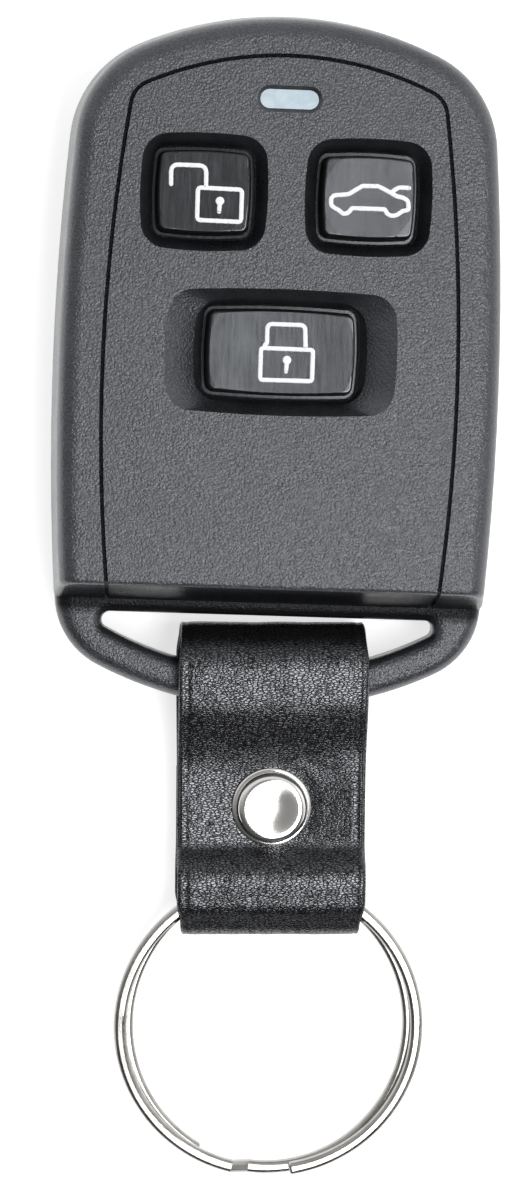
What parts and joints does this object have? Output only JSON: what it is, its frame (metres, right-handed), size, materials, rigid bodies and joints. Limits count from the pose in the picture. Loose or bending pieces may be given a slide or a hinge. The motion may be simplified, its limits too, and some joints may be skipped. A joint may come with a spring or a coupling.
{
  "type": "remote key fob",
  "caption": "Remote-control key fob in a two-part moulded case with sprung press buttons, a looped leather strap riveted round its bail and a split ring.",
  "frame": {"origin": "on the plane of the rear cover's flat back, at the case's line of symmetry", "axes": "+Z out of the button face, +Y towards the arched end of the case, strap and ring towards -Y, +X to the right seen from above"},
  "size_m": [0.038, 0.1002, 0.0129],
  "materials": {
    "case_plastic": "fine spark-textured charcoal plastic",
    "cap_plastic": "satin dark grey plastic with printed pictograms",
    "lamp_plastic": "milky clear plastic",
    "silicone": "soft matt silicone",
    "board": "lacquered glass-fibre board",
    "led_plastic": "clear resin",
    "chip_plastic": "moulded black epoxy",
    "switch_plastic": "moulded black plastic",
    "ceramic": "ceramic with tinned ends",
    "plated_steel": "nickel-plated sheet",
    "tinned_wire": "tinned copper wire",
    "leather": "black pebble-grain leather",
    "nickel": "polished nickel plating"
  },
  "bodies": {
    "case": {"front_cover": "case_plastic", "rear_cover": "case_plastic", "lamp_window": "lamp_plastic", "keypad_mat": "silicone", "circuit_board": "board", "unlock_switch": "switch_plastic", "boot_switch": "switch_plastic", "lock_switch": "switch_plastic", "status_led": "led_plastic", "controller_chip": "chip_plastic", "resonator_can": "plated_steel", "antenna_loop": "tinned_wire", "chip_parts": "ceramic", "coin_cell": "plated_steel", "positive_clip": "plated_steel", "negative_contact": "plated_steel", "unlock_dome": "silicone", "boot_dome": "silicone", "lock_dome": "silicone"},
    "unlock_button": {"unlock_cap": "cap_plastic"},
    "unlock_key": {"unlock_plunger": "switch_plastic"},
    "boot_button": {"boot_cap": "cap_plastic"},
    "boot_key": {"boot_plunger": "switch_plastic"},
    "lock_button": {"lock_cap": "cap_plastic"},
    "lock_key": {"lock_plunger": "switch_plastic"},
    "strap": {"strap": "leather", "rivet_cap": "nickel", "rivet_back": "nickel"},
    "ring": {"split_ring": "nickel"}
  },
  "joints": [
    {"name": "unlock_press", "type": "slide", "parent": "case", "child": "unlock_button", "axis": [0, 0, -1], "range_m": [0, 0.0005], "stiffness_N_per_m": 2000, "springref_m": -0.0002, "deforming": ["unlock_dome"]},
    {"name": "unlock_click", "type": "slide", "parent": "case", "child": "unlock_key", "axis": [0, 0, -1], "range_m": [0, 0.00025]},
    {"name": "boot_press", "type": "slide", "parent": "case", "child": "boot_button", "axis": [0, 0, -1], "range_m": [0, 0.0005], "stiffness_N_per_m": 2000, "springref_m": -0.0002, "deforming": ["boot_dome"]},
    {"name": "boot_click", "type": "slide", "parent": "case", "child": "boot_key", "axis": [0, 0, -1], "range_m": [0, 0.00025]},
    {"name": "lock_press", "type": "slide", "parent": "case", "child": "lock_button", "axis": [0, 0, -1], "range_m": [0, 0.0005], "stiffness_N_per_m": 2000, "springref_m": -0.0002, "deforming": ["lock_dome"]},
    {"name": "lock_click", "type": "slide", "parent": "case", "child": "lock_key", "axis": [0, 0, -1], "range_m": [0, 0.00025]},
    {"name": "strap_swing", "type": "hinge", "parent": "case", "child": "strap", "pos_m": [0.0006, -0.0272, 0.00445], "axis": [0.9996, 0.0279, 0], "range_deg": [-110, 110]},
    {"name": "ring_swing", "type": "hinge", "parent": "strap", "child": "ring", "pos_m": [0.00113, -0.04625, 0.00323], "axis": [0.9996, 0.0279, 0], "range_deg": [-22, 22]}
  ],
  "couplings": [
    {"joint": "unlock_click", "follows": "unlock_press", "ratio": 0.5},
    {"joint": "boot_click", "follows": "boot_press", "ratio": 0.5},
    {"joint": "lock_click", "follows": "lock_press", "ratio": 0.5}
  ]
}
